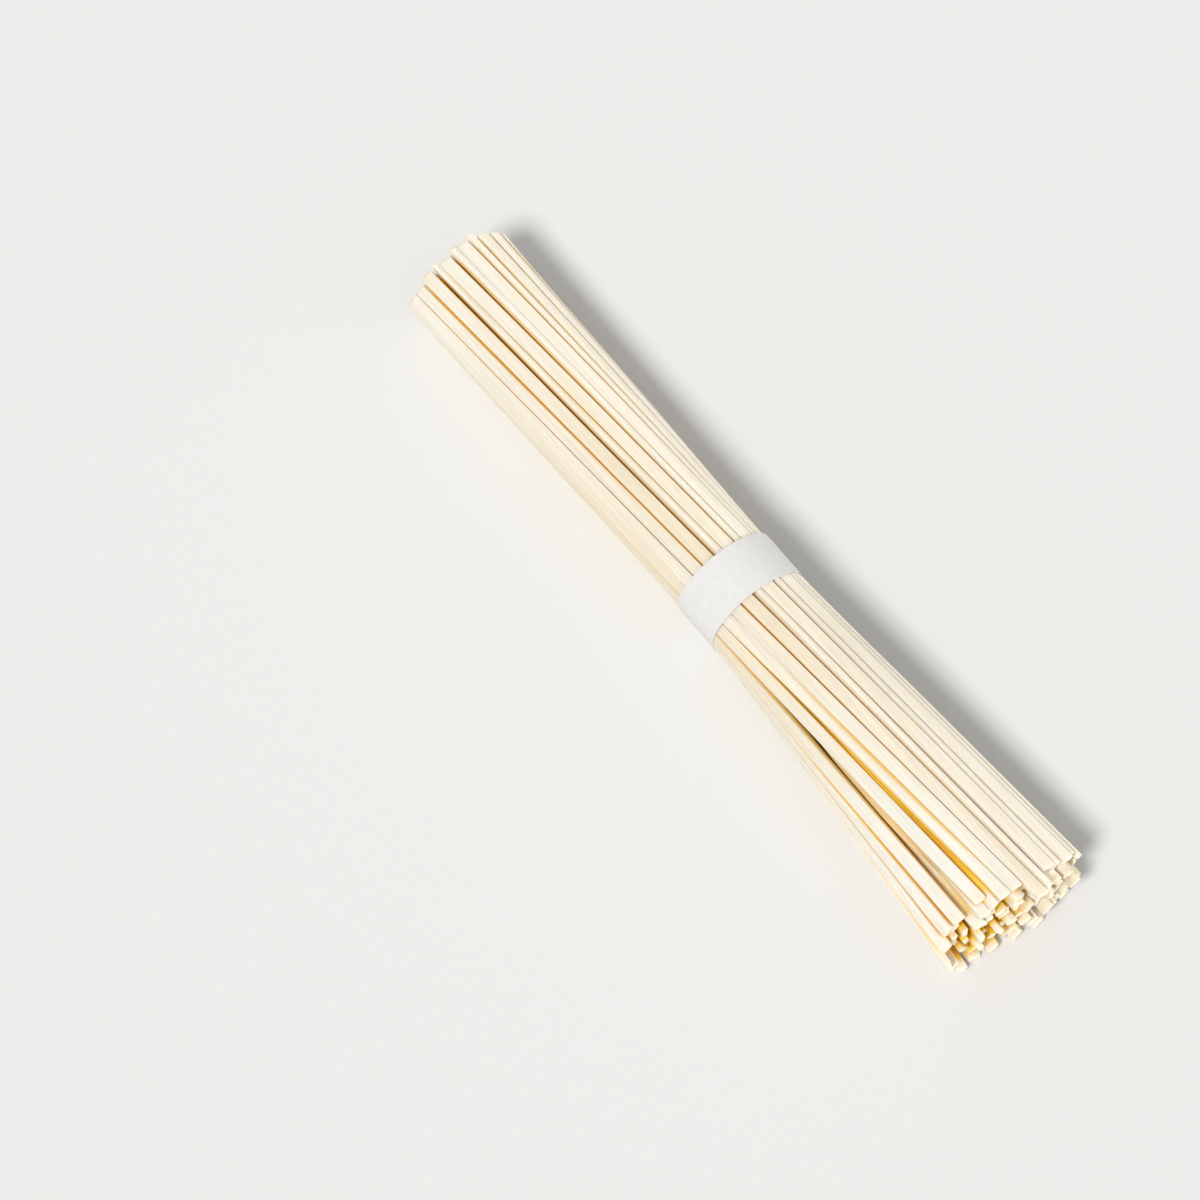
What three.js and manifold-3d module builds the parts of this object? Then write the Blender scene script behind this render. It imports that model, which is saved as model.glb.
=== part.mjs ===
// A bundle of dried udon noodles lying on its side, gathered near the middle by a paper band.
// X runs along the bundle towards its loose end, Z is up, all lengths are millimetres.
import * as THREE from "three";
import { mergeVertices } from "three/addons/utils/BufferGeometryUtils.js";
import Module from "manifold-3d";

// One noodle is a flat strip with a rectangular section, and the band sits off its middle.
const NOODLE = { length: 200, width: 2.9, thickness: 1.5 };
const BAND_OFFSET = 4;
const CLEARANCE = 0.04;
const SEED = 5;

// The bundle rests on its lowest noodles, which are flattened at this height.
const REST = 0.35;

// The bundle's section at the band is an oval whose underside hangs above the floor.
// A fullness of 2 makes an ellipse, and more makes it boxier.
const OVAL = { halfWidth: 12.55, halfHeight: 11.4, fullness: 2, lift: 1.6, start: 2.05 };
const PAPER = { width: 12.5, thickness: 0.35, gap: 0.3, sides: 48, slices: 5 };

// The outer layer, counted round the band from the right side over the top and underneath.
// Most of its noodles lie flat and some stand on edge, tilted by these angles in radians.
const OUTER_COUNT = 26;
const ON_EDGE = [3, 5, 7, 16, 20, 23];
const EDGE_TILT = 1.35;
const FLAT_TILT = 0.16;

// The first noodles are the ones on top, close together but for the partings after some of them.
// The others share the room that is left underneath.
const TOP_COUNT = 14;
const TOP_SPACE = 0.1;
const TIGHT_PARTINGS = { 0: 0.5, 1: 0.6, 2: 0.6, 3: 0.4, 5: 0.25, 8: 0.25, 9: 0.2 };
const LOOSE_PARTINGS = { 10: 1.8, 11: 3.6, 12: 0.6, 13: 0.8 };

// The layer is laid round each oval from the edge of this noodle.
const FIRST_NOODLE = 9;
const RING_STEPS = 720;
const RING_STEP = (2 * Math.PI) / RING_STEPS;

// The cut ends: their unevenness, how the loose end leans out to the right and below its top, and
// the outer noodles that stand out of each end by their own lengths.
const UNEVEN = { tight: 0.7, loose: 1.6 };
const LOOSE_CUT = { slant: 0.1, lean: 0.085, top: 21 };
const TIGHT_OUT = { 0: 0.5, 2: 0.8, 3: 2, 5: 1, 7: 0.9, 8: 0.6, 9: -0.4, 11: 0.8 };
const LOOSE_OUT = {
  0: -1.2, 1: -0.8, 7: 3.8, 8: 4.4, 11: -2.8, 12: -2.4,
  13: -2.6, 15: 1.6, 16: 1.2, 17: 1.8, 25: 1,
};

// Some noodles inside the loose end fill its wide parting. Each lies so many millimetres left of one
// of the outer layer, and so many layers below it.
const FILLED_FROM = 11;
const FILLING = { 50: [0.3, 1], 63: [0.7, 2], 33: [1.1, 3], 64: [1.5, 4], 51: [3.2, 2.2] };

// The noodles inside, ring by ring, before they are squeezed together.
const INNER = { rings: [18, 15, 11, 7, 4, 1], loose: 1.25, tilt: 0.3, aside: 0.15 };

// Turns of the settling, and how strongly noodles are drawn in, kept straight and weighed down.
const SQUEEZE = { turns: 160, slack: 0.3, speed: 1.4, draw: 0.996 };
const JOIN_TURNS = 80;
const OUTER_GIVE = 0.1;
const SETTLE = { turns: 80, stiff: 0.5, follow: 0.05, sink: 0.01 };

// The ovals at the ends, how far each sits to the right, the angle where the first noodle begins on
// it, how far apart the noodles inside spread there, their twist in radians per millimetre, and
// their disorder.
const TIGHT_END = {
  x: -100,
  halfWidth: 14.0,
  halfHeight: 12.1,
  fullness: 2,
  aside: 0,
  start: 2.492,
  apart: 1.08,
  twist: 0.0044,
  shift: 0.15,
  turn: 0.08,
  partings: TIGHT_PARTINGS,
  filling: {},
};
const LOOSE_END = {
  x: 100,
  halfWidth: 20.0,
  halfHeight: 11.4,
  fullness: 2.6,
  aside: -0.5,
  start: 1.32,
  apart: 1.12,
  twist: 0.006,
  shift: 0.3,
  turn: 0.12,
  partings: LOOSE_PARTINGS,
  filling: FILLING,
};

// The solid: noodle boxes fused to a core that ends short of the noodles' cut ends.
const OUTER_SEGMENTS = 8;
const STUB_LENGTH = 14;
const CORE = { recess: 7, inward: 0.4, segments: 8 };

const CREAM = { color: 0xf6ead0, roughness: 0.65, metalness: 0 };
const WHITE = { color: 0xf4f3ef, roughness: 0.85, metalness: 0 };

const DISC = NOODLE.thickness / 2 + CLEARANCE;
const LEVERS = [-1, 0, 1].map((side) => side * (NOODLE.width / 2 + CLEARANCE - DISC));
const INERTIA = (NOODLE.width ** 2 + NOODLE.thickness ** 2) / 12;
const REACH = NOODLE.width + 2 * CLEARANCE;
const LAYER = NOODLE.thickness + 2 * CLEARANCE;
const MIDDLE = OVAL.lift + OVAL.halfHeight;
const STATIONS = [-100, -50, 0, 50, 100];

function seeded(seed) {
  let state = seed;
  return () => {
    state = (state * 1664525 + 1013904223) % 4294967296;
    return state / 4294967296;
  };
}
const draw = seeded(SEED);
const spread = (amount) => (2 * draw() - 1) * amount;

// A noodle's section: its middle, the direction of its width, and how easily it gives way.
function section(y, z, angle, give) {
  return { y, z, c: Math.cos(angle), s: Math.sin(angle), give };
}

function push(p, lever, ny, nz, amount) {
  const step = amount * p.give;
  p.y += ny * step;
  p.z += nz * step;
  const turn = (lever * (p.c * nz - p.s * ny) * step) / INERTIA;
  const c = p.c - p.s * turn;
  const s = p.s + p.c * turn;
  const size = Math.sqrt(c * c + s * s);
  p.c = c / size;
  p.s = s / size;
}

function ease(p, lever, ny, nz) {
  const arm = lever * (p.c * nz - p.s * ny);
  return p.give * (1 + (arm * arm) / INERTIA);
}

// The deepest overlap of two noodles, each taken as three discs in a row.
function contact(p, q) {
  const gy = q.y - p.y;
  const gz = q.z - p.z;
  if (gy * gy + gz * gz > REACH * REACH) return null;
  let found = null;
  let deepest = 0;
  for (const a of LEVERS)
    for (const b of LEVERS) {
      const dy = gy + b * q.c - a * p.c;
      const dz = gz + b * q.s - a * p.s;
      const apart = Math.sqrt(dy * dy + dz * dz);
      if (2 * DISC - apart > deepest) {
        deepest = 2 * DISC - apart;
        found = { a, b, ny: dy / apart, nz: dz / apart, deep: deepest };
      }
    }
  return found;
}

function separate(pieces) {
  for (let i = 0; i < pieces.length; i++)
    for (let j = i + 1; j < pieces.length; j++) {
      const hit = contact(pieces[i], pieces[j]);
      if (!hit) continue;
      const { a, b, ny, nz, deep } = hit;
      const amount = deep / (ease(pieces[i], a, ny, nz) + ease(pieces[j], b, ny, nz));
      push(pieces[i], a, ny, nz, -amount);
      push(pieces[j], b, ny, nz, amount);
    }
}

function confine(pieces, halfWidth, halfHeight) {
  for (const p of pieces)
    for (const a of LEVERS) {
      const y = p.y + a * p.c;
      const z = p.z + a * p.s;
      const u = y / (halfWidth - DISC);
      const v = z / (halfHeight - DISC);
      const out = Math.sqrt(u * u + v * v);
      if (out <= 1) continue;
      const dy = y / out - y;
      const dz = z / out - z;
      const far = Math.sqrt(dy * dy + dz * dz);
      push(p, a, dy / far, dz / far, far / ease(p, a, dy / far, dz / far));
    }
}

// Raises every noodle whose lowest corner is under the given height.
function standOn(pieces, floor) {
  for (const p of pieces) {
    const down = (NOODLE.width * Math.abs(p.s) + NOODLE.thickness * Math.abs(p.c)) / 2;
    const under = floor + down - p.z;
    const lever = p.s > 0 ? LEVERS[0] : LEVERS[2];
    if (under > 0) push(p, lever, 0, 1, under / ease(p, lever, 0, 1));
  }
}

const outerTilts = Array.from({ length: OUTER_COUNT }, (unused, i) => {
  const tilt = spread(FLAT_TILT);
  return ON_EDGE.includes(i) ? EDGE_TILT + tilt : tilt;
});

// How much of the ring a tilted noodle takes up, and how deep it reaches from the surface.
function shareOf(tilt) {
  return NOODLE.width * Math.abs(Math.cos(tilt)) + NOODLE.thickness * Math.abs(Math.sin(tilt));
}

function depthOf(tilt) {
  return NOODLE.width * Math.abs(Math.sin(tilt)) + NOODLE.thickness * Math.abs(Math.cos(tilt));
}

// How far an oval reaches from its middle in one direction.
function ovalReach(halfWidth, halfHeight, fullness, angle) {
  const across = Math.abs(Math.cos(angle) / halfWidth) ** fullness;
  const up = Math.abs(Math.sin(angle) / halfHeight) ** fullness;
  return (across + up) ** (-1 / fullness);
}

// A point a distance inside an oval, in one direction from its middle.
function ovalPoint({ halfWidth, halfHeight, fullness }, inward, angle) {
  const reach = ovalReach(halfWidth - inward, halfHeight - inward, fullness, angle);
  return { y: reach * Math.cos(angle), z: reach * Math.sin(angle) };
}

// Lengths round an oval at even steps of the angle, counted from the oval's start.
function arcLengths(oval) {
  const lengths = [0];
  for (let k = 0; k < RING_STEPS; k++) {
    const p = ovalPoint(oval, LAYER / 2, oval.start + RING_STEP * k);
    const q = ovalPoint(oval, LAYER / 2, oval.start + RING_STEP * (k + 1));
    lengths.push(lengths[k] + Math.hypot(q.y - p.y, q.z - p.z));
  }
  return lengths;
}

// The outer layer side by side round an oval, about the oval's middle.
function outerLayer(oval) {
  const lengths = arcLengths(oval);
  const spaceOf = (i) => oval.partings[i] ?? TOP_SPACE;
  let left = lengths[RING_STEPS];
  for (let i = 0; i < OUTER_COUNT; i++) left -= shareOf(outerTilts[i]);
  for (let i = 0; i < TOP_COUNT; i++) left -= spaceOf(i);
  const even = left / (OUTER_COUNT - TOP_COUNT);
  const pieces = [];
  let gone = 0;
  let k = 0;
  for (let n = 0; n < OUTER_COUNT; n++) {
    const i = (FIRST_NOODLE + n) % OUTER_COUNT;
    const centre = gone + shareOf(outerTilts[i]) / 2;
    while (lengths[k + 1] < centre) k++;
    const part = (centre - lengths[k]) / (lengths[k + 1] - lengths[k]);
    const angle = oval.start + RING_STEP * (k + part);
    const { y, z } = ovalPoint(oval, CLEARANCE + depthOf(outerTilts[i]) / 2, angle);
    const before = ovalPoint(oval, LAYER / 2, angle - RING_STEP);
    const after = ovalPoint(oval, LAYER / 2, angle + RING_STEP);
    const along = Math.atan2(after.z - before.z, after.y - before.y);
    pieces[i] = section(y, z, along + outerTilts[i], OUTER_GIVE);
    gone += shareOf(outerTilts[i]) + (i < TOP_COUNT ? spaceOf(i) : even);
  }
  return pieces;
}

// The noodles inside, squeezed from loose rings into the oval that the outer layer leaves.
function innerNoodles() {
  const halfWidth = OVAL.halfWidth - LAYER;
  const halfHeight = OVAL.halfHeight - LAYER;
  const pieces = [];
  INNER.rings.forEach((count, ring) => {
    const inward = (ring + 0.5) * LAYER;
    const first = draw();
    for (let i = 0; i < count; i++) {
      const angle = (2 * Math.PI * (i + first + spread(INNER.aside))) / count;
      const y = (halfWidth - inward) * INNER.loose * Math.cos(angle);
      const z = (halfHeight - inward) * INNER.loose * Math.sin(angle);
      const tilt = spread(INNER.tilt * (1 + ring));
      pieces.push(section(y, z, angle + Math.PI / 2 + tilt, 1));
    }
  });
  for (let turn = 0; turn < SQUEEZE.turns; turn++) {
    const left = Math.max(0, 1 - (SQUEEZE.speed * turn) / SQUEEZE.turns);
    const slack = 1 + SQUEEZE.slack * left;
    for (const p of pieces) {
      p.y *= SQUEEZE.draw;
      p.z *= SQUEEZE.draw;
    }
    confine(pieces, halfWidth * slack, halfHeight * slack);
    separate(pieces);
  }
  return pieces;
}

function waistSection() {
  const outer = outerLayer({ ...OVAL, partings: {} });
  const pieces = [...outer, ...innerNoodles()];
  for (let turn = 0; turn < JOIN_TURNS; turn++) {
    separate(pieces);
    confine(outer, OVAL.halfWidth, OVAL.halfHeight);
  }
  for (const p of pieces) p.z += MIDDLE;
  return pieces;
}

// How much further an oval reaches in one direction than an ellipse of its size.
function fullerBy({ halfWidth, halfHeight, fullness }, angle) {
  const ellipse = ovalReach(halfWidth, halfHeight, 2, angle);
  return ovalReach(halfWidth, halfHeight, fullness, angle) / ellipse;
}

// All noodles at one end: the outer layer on its oval, the others carried there by the twist.
function endSection(waist, end) {
  const slope = end.twist * end.x;
  const stretch = Math.sqrt(1 + slope * slope);
  const side = end.halfWidth / (OVAL.halfWidth * stretch);
  const up = end.halfHeight / (OVAL.halfHeight * stretch);
  const outer = outerLayer(end);
  const inner = waist.slice(OUTER_COUNT).map((p) => {
    const z = p.z - MIDDLE;
    const angle = Math.atan2(p.s, p.c) - Math.atan(slope) + spread(end.turn);
    const carried = { y: (p.y + slope * z) * side, z: (z - slope * p.y) * up };
    const apart = end.apart * fullerBy(end, Math.atan2(carried.z, carried.y));
    const y = carried.y * apart + spread(end.shift);
    return section(y, carried.z * apart + spread(end.shift), angle, 1);
  });
  const pieces = [...outer, ...inner];
  const top = pieces[FILLED_FROM];
  for (const [i, [left, layers]] of Object.entries(end.filling)) {
    pieces[i].y = top.y - left;
    pieces[i].z = top.z - LAYER * layers;
    pieces[i].c = top.c;
    pieces[i].s = top.s;
  }
  for (const p of pieces) {
    p.y += end.aside;
    p.z += end.halfHeight;
  }
  return pieces;
}

function between(p, q) {
  const c = p.c + q.c;
  const s = p.s + q.s;
  const size = Math.sqrt(c * c + s * s);
  return { y: (p.y + q.y) / 2, z: (p.z + q.z) / 2, c: c / size, s: s / size, give: p.give };
}

// The sections of all noodles at the five stations, settled so that no two noodles cross.
function layOut() {
  const waist = waistSection();
  const tight = endSection(waist, TIGHT_END);
  const loose = endSection(waist, LOOSE_END);
  const halfway = (end) => waist.map((p, i) => between(p, end[i]));
  const stations = [tight, halfway(tight), waist, halfway(loose), loose];
  const sides = [
    { end: 0, quarter: 1 },
    { end: 4, quarter: 3 },
  ];
  for (let turn = 0; turn < SETTLE.turns; turn++)
    for (const { end, quarter } of sides) {
      waist.forEach((p, i) => {
        const m = stations[quarter][i];
        const e = stations[end][i];
        m.y += SETTLE.stiff * ((p.y + e.y) / 2 - m.y);
        m.z += SETTLE.stiff * ((p.z + e.z) / 2 - m.z);
        e.y += SETTLE.follow * (2 * m.y - p.y - e.y);
        e.z += SETTLE.follow * (2 * m.z - p.z - e.z) - SETTLE.sink;
      });
      separate(stations[quarter]);
      separate(stations[end]);
      standOn(stations[quarter], OVAL.lift / 2);
      standOn(stations[end], 0);
    }
  return stations;
}

// A noodle's section at any place along the bundle, on a smooth curve through the stations.
function sectionAt(stations, i, x) {
  const step = STATIONS[1] - STATIONS[0];
  const last = STATIONS.length - 2;
  const k = Math.min(last, Math.max(0, Math.floor((x - STATIONS[0]) / step)));
  const t = (x - STATIONS[k]) / step;
  const p = stations[k][i];
  const q = stations[k + 1][i];
  const before = k > 0 ? stations[k - 1][i] : null;
  const after = k < last ? stations[k + 2][i] : null;
  const curve = (key) => {
    const rise = q[key] - p[key];
    const start = before ? (q[key] - before[key]) / 2 : rise;
    const finish = after ? (after[key] - p[key]) / 2 : rise;
    const bend = start + finish - 2 * rise;
    return p[key] + t * (start + t * (rise - start - bend + t * bend));
  };
  const c = curve("c");
  const s = curve("s");
  const size = Math.sqrt(c * c + s * s);
  return { y: curve("y"), z: curve("z"), c: c / size, s: s / size };
}

const wasm = await Module();
wasm.setup();

function solid(geometry) {
  geometry.deleteAttribute("normal");
  geometry.deleteAttribute("uv");
  const merged = mergeVertices(geometry);
  const mesh = new wasm.Mesh({
    numProp: 3,
    vertProperties: new Float32Array(merged.attributes.position.array),
    triVerts: new Uint32Array(merged.index.array),
  });
  return new wasm.Manifold(mesh);
}

// A length of one noodle as a box bent along its path, flattened where the bundle rests.
function noodleBox(stations, i, from, to, segments) {
  const box = new THREE.BoxGeometry(1, NOODLE.width, NOODLE.thickness, segments, 1, 1);
  const at = box.attributes.position;
  for (let v = 0; v < at.count; v++) {
    const x = from + (at.getX(v) + 0.5) * (to - from);
    const p = sectionAt(stations, i, x);
    const a = at.getY(v);
    const b = at.getZ(v);
    at.setXYZ(v, x, p.y + a * p.c - b * p.s, Math.max(REST, p.z + a * p.s + b * p.c));
  }
  return solid(box);
}

// The core: a loft with one corner at each outer noodle, drawn in a little towards the middle.
function core(stations) {
  const length = NOODLE.length - 2 * CORE.recess;
  const round = new THREE.CylinderGeometry(1, 1, length, OUTER_COUNT, CORE.segments);
  round.rotateZ(-Math.PI / 2);
  const at = round.attributes.position;
  for (let v = 0; v < at.count; v++) {
    const x = at.getX(v) - BAND_OFFSET;
    const ring = stations[0].slice(0, OUTER_COUNT).map((unused, i) => sectionAt(stations, i, x));
    const y = ring.reduce((sum, p) => sum + p.y, 0) / OUTER_COUNT;
    const z = ring.reduce((sum, p) => sum + p.z, 0) / OUTER_COUNT;
    const onAxis = Math.hypot(at.getY(v), at.getZ(v)) < 0.5;
    const turn = Math.atan2(at.getZ(v), at.getY(v)) / (2 * Math.PI);
    const p = ring[Math.round((turn + 1) * OUTER_COUNT) % OUTER_COUNT];
    const keep = onAxis ? 0 : 1 - CORE.inward / Math.hypot(p.y - y, p.z - z);
    at.setXYZ(v, x, y + (p.y - y) * keep, z + (p.z - z) * keep);
  }
  return solid(round);
}

// Where each noodle begins and ends along X. On top the loose end is cut straight.
function noodleEnds(stations) {
  const start = -NOODLE.length / 2 - BAND_OFFSET;
  const finish = start + NOODLE.length;
  return stations[4].map((p, i) => {
    const back = spread(UNEVEN.tight);
    const onTop = i < TOP_COUNT;
    const lean = onTop ? 0 : LOOSE_CUT.slant * p.y + LOOSE_CUT.lean * (LOOSE_CUT.top - p.z);
    const out = lean + spread(onTop ? UNEVEN.tight : UNEVEN.loose);
    return { from: start - (TIGHT_OUT[i] ?? back), to: finish + (LOOSE_OUT[i] ?? out) };
  });
}

function noodleBundle(stations) {
  const pieces = [core(stations)];
  noodleEnds(stations).forEach(({ from, to }, i) => {
    if (i < OUTER_COUNT) {
      pieces.push(noodleBox(stations, i, from, to, OUTER_SEGMENTS));
      return;
    }
    pieces.push(noodleBox(stations, i, from, from + STUB_LENGTH, 1));
    pieces.push(noodleBox(stations, i, to - STUB_LENGTH, to, 1));
  });
  const bodies = wasm.Manifold.union(pieces).decompose();
  return bodies.reduce((most, body) => (body.volume() > most.volume() ? body : most));
}

// The paper's outline at a distance from the noodles: straight sides tangent to the section's hull.
function paperOutline(corners, distance) {
  const lines = Array.from({ length: PAPER.sides }, (unused, k) => {
    const angle = (2 * Math.PI * k) / PAPER.sides;
    const c = Math.cos(angle);
    const s = Math.sin(angle);
    const reach = Math.max(...corners.map(([y, z]) => y * c + z * s));
    return { c, s, reach: reach + distance };
  });
  return lines.map((line, k) => {
    const next = lines[(k + 1) % lines.length];
    const cross = line.c * next.s - line.s * next.c;
    const y = (line.reach * next.s - next.reach * line.s) / cross;
    const z = (next.reach * line.c - line.reach * next.c) / cross;
    return new THREE.Vector2(y, z);
  });
}

function paperBand(stations) {
  const corners = [];
  for (let slice = 0; slice < PAPER.slices; slice++) {
    const x = PAPER.width * (slice / (PAPER.slices - 1) - 0.5);
    for (let i = 0; i < OUTER_COUNT; i++) {
      const p = sectionAt(stations, i, x);
      for (const a of [-NOODLE.width / 2, NOODLE.width / 2])
        for (const b of [-NOODLE.thickness / 2, NOODLE.thickness / 2])
          corners.push([p.y + a * p.c - b * p.s, p.z + a * p.s + b * p.c]);
    }
  }
  const shape = new THREE.Shape(paperOutline(corners, PAPER.gap + PAPER.thickness));
  shape.holes.push(new THREE.Path(paperOutline(corners, PAPER.gap)));
  const band = new THREE.ExtrudeGeometry(shape, { depth: PAPER.width, bevelEnabled: false });
  band.translate(0, 0, -PAPER.width / 2);
  const axes = new THREE.Matrix4().makeBasis(
    new THREE.Vector3(0, 1, 0),
    new THREE.Vector3(0, 0, 1),
    new THREE.Vector3(1, 0, 0),
  );
  return band.applyMatrix4(axes);
}

function geometryOf(body) {
  const mesh = body.getMesh();
  return new THREE.BufferGeometry()
    .setAttribute("position", new THREE.BufferAttribute(mesh.vertProperties, 3))
    .setIndex(new THREE.BufferAttribute(mesh.triVerts, 1));
}

function named(name, geometry, finish) {
  const mesh = new THREE.Mesh(geometry, new THREE.MeshStandardMaterial(finish));
  mesh.name = name;
  return mesh;
}

const stations = layOut();
const noodles = named("noodles", geometryOf(noodleBundle(stations)), CREAM);
const band = named("paper_band", paperBand(stations), WHITE);

// The origin is under the middle of the noodles, on the floor.
const bounds = new THREE.Box3().setFromObject(noodles);
const middle = bounds.getCenter(new THREE.Vector3());
const bundle = new THREE.Group();
for (const mesh of [noodles, band]) {
  mesh.position.set(-middle.x, -middle.y, -bounds.min.z);
  bundle.add(mesh);
}

export default bundle;
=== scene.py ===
import math

import bpy
import numpy as np
from mathutils import Matrix, Vector


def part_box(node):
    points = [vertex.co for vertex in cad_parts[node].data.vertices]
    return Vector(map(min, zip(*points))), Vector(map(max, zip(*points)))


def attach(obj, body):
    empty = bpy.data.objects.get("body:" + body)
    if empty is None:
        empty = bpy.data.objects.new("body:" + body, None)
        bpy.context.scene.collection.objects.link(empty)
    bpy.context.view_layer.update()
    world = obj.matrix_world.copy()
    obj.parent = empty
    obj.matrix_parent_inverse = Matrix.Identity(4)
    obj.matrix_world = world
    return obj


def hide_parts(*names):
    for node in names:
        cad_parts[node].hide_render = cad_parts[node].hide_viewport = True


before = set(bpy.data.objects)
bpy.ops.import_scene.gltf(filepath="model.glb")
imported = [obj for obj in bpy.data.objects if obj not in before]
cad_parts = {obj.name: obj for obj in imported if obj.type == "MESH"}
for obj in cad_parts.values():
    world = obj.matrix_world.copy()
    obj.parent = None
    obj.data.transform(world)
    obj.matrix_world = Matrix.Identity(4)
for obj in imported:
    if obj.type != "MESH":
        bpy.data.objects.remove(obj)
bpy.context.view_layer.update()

# Lengths of the bundle are in millimetres and are turned into metres when a mesh is made.
MM = 0.001
NOODLE_LENGTH = 200
NOODLE_WIDTH = 2.9
NOODLE_THICKNESS = 1.5
BAND_OFFSET = 4
CLEARANCE = 0.04

# The draws: each number of the layout's generator is the last one times a factor plus a step.
SEED = 5
DRAW_FACTOR = 1664525
DRAW_STEP = 1013904223
DRAW_RANGE = 2**32

# Less than any share or slope that counts.
TINY = 1e-9

# The bundle rests on its lowest noodles, which are flattened at this height.
REST = 0.35

# The bundle's section at the band, and the outer layer of noodles round it.
# A fullness of 2 makes an ellipse, and more makes it boxier.
ELLIPSE = 2
OVAL = {"half_width": 12.55, "half_height": 11.4, "fullness": ELLIPSE, "start": 2.05, "partings": {}}
LIFT = 1.6
OUTER_COUNT = 26
ON_EDGE = (3, 5, 7, 16, 20, 23)
EDGE_TILT = 1.35
FLAT_TILT = 0.16
TOP_COUNT = 14
TOP_SPACE = 0.1
FIRST_NOODLE = 9
RING_STEPS = 720
RING_STEP = 2 * math.pi / RING_STEPS
OUTER_GIVE = 0.1
INNER_GIVE = 1

# The noodles inside, ring by ring, before they are squeezed together.
INNER_RINGS = (18, 15, 11, 7, 4, 1)
INNER_LOOSE = 1.25
INNER_TILT = 0.3
INNER_ASIDE = 0.15

# Turns of the settling, and how strongly noodles are drawn in, kept straight and weighed down.
SQUEEZE_TURNS = 160
SQUEEZE_SLACK = 0.3
SQUEEZE_SPEED = 1.4
SQUEEZE_DRAW = 0.996
JOIN_TURNS = 80
SETTLE_TURNS = 80
SETTLE_STIFF = 0.5
SETTLE_FOLLOW = 0.05
SETTLE_SINK = 0.01

# Some noodles inside the loose end fill its wide parting. Each lies so many millimetres left of one
# of the outer layer, and so many layers below it. One of them is then slid to the right at its end,
# by so many millimetres, so that no deep gap shows beside it.
FILLED_FROM = 11
FILLING = {50: (0.3, 1), 63: (0.7, 2), 33: (1.1, 3), 64: (1.5, 4), 51: (3.2, 2.2)}
SLID_ASIDE = {51: 1.4}

# The two ends: the oval there, the partings on top, and the twist and disorder of the noodles inside.
TIGHT_END = {
    "x": -NOODLE_LENGTH / 2,
    "half_width": 14.0,
    "half_height": 12.1,
    "fullness": ELLIPSE,
    "aside": 0,
    "start": 2.492,
    "apart": 1.08,
    "twist": 0.0044,
    "shift": 0.15,
    "turn": 0.08,
    "partings": {0: 0.5, 1: 0.6, 2: 0.6, 3: 0.4, 5: 0.25, 8: 0.25, 9: 0.2},
    "filling": {},
}
LOOSE_END = {
    "x": NOODLE_LENGTH / 2,
    "half_width": 20.0,
    "half_height": 11.4,
    "fullness": 2.6,
    "aside": -0.5,
    "start": 1.32,
    "apart": 1.12,
    "twist": 0.006,
    "shift": 0.3,
    "turn": 0.12,
    "partings": {10: 1.8, 11: 3.6, 12: 0.6, 13: 0.8},
    "filling": FILLING,
}

# The cut ends: their unevenness, how the loose end leans out to the right and below its top, and
# the outer noodles that stand out of each end by their own lengths.
UNEVEN_TIGHT = 0.7
UNEVEN_LOOSE = 1.6
LOOSE_SLANT = 0.1
LOOSE_LEAN = 0.085
LOOSE_TOP = 21
TIGHT_OUT = {0: 0.5, 2: 0.8, 3: 2, 5: 1, 7: 0.9, 8: 0.6, 9: -0.4, 11: 0.8}
LOOSE_OUT = {
    0: -1.2, 1: -0.8, 7: 3.8, 8: 4.4, 11: -2.8, 12: -2.4,
    13: -2.6, 15: 1.6, 16: 1.2, 17: 1.8, 25: 1,
}

# The places along X where the sections are worked out, and sizes that follow from those above.
STATION_STEP = NOODLE_LENGTH / 4
STATIONS = tuple(STATION_STEP * k for k in (-2, -1, 0, 1, 2))
LAYER = NOODLE_THICKNESS + 2 * CLEARANCE
DISC = LAYER / 2
LEVER = NOODLE_WIDTH / 2 + CLEARANCE - DISC
LEVERS = (-LEVER, 0.0, LEVER)
INERTIA = (NOODLE_WIDTH**2 + NOODLE_THICKNESS**2) / 12
REACH = NOODLE_WIDTH + 2 * CLEARANCE
MIDDLE = LIFT + OVAL["half_height"]

# One noodle's finish: rounded edges, softened cut ends, and small differences between noodles.
SWELL = 0.07
EDGE_ROUND = 0.08
EDGE_TURNS = (0.0, 45.0, 90.0)
EDGE_CROWN = 7.0
FACE_CROWN = 4.0
FACE_MARGIN = 0.3
NOODLE_RINGS = 50
END_RINGS = ((0.0, 0.2), (0.09, 0.06), (0.26, 0.0))
WIDTH_SPREAD = 0.02
THICKNESS_SPREAD = 0.05
END_SLANT = 0.14
END_CHIP = 0.06
WAVE = 0.05
WAVE_RATES = (0.02, 0.06)

# How open a point of a noodle is to the outside, found by rays across the bundle at planes along it.
# The painted shade in the gaps follows from it, and at the cut ends only a part of that painted shade
# is left.
RAY_COUNT = 24
RAY_REACH = 7.0
RAY_START = 0.04
RAY_PLANES = 20
END_PLANES = 12
END_REACH = (8.0, 4.0)
END_LIGHT = 0.35
END_GAP_SHADE = 0.4

# The gaps carry a painted golden glow, light seeming to shine through the noodles, on the lit left side
# of the bundle, and painted beige shade on the right. The painted glow reaches further to the right at
# the tight end, by this many millimetres for each one along the bundle.
PAINTED_GLOW_ACROSS = ((0.0, 1.0), (7.0, 0.45), (13.0, 0.0))
PAINTED_GLOW_DRIFT = 0.03
PAINTED_GLOW_ALONG = ((-60.0, 1.0), (0.0, 0.75), (60.0, 1.0))

# Near the band the gaps get less painted shade, and so do the noodles that lie on edge and those that
# fill the wide parting.
GAP_SHADE_ALONG = ((-50.0, 1.0), (-5.0, 0.85), (25.0, 0.85), (60.0, 1.0))
EDGE_SHARE = 0.8
FILLING_SHARE = 0.58
GAP_SHADE_SHARES = {**dict.fromkeys(ON_EDGE, EDGE_SHARE), **dict.fromkeys(FILLING, FILLING_SHARE)}
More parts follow.
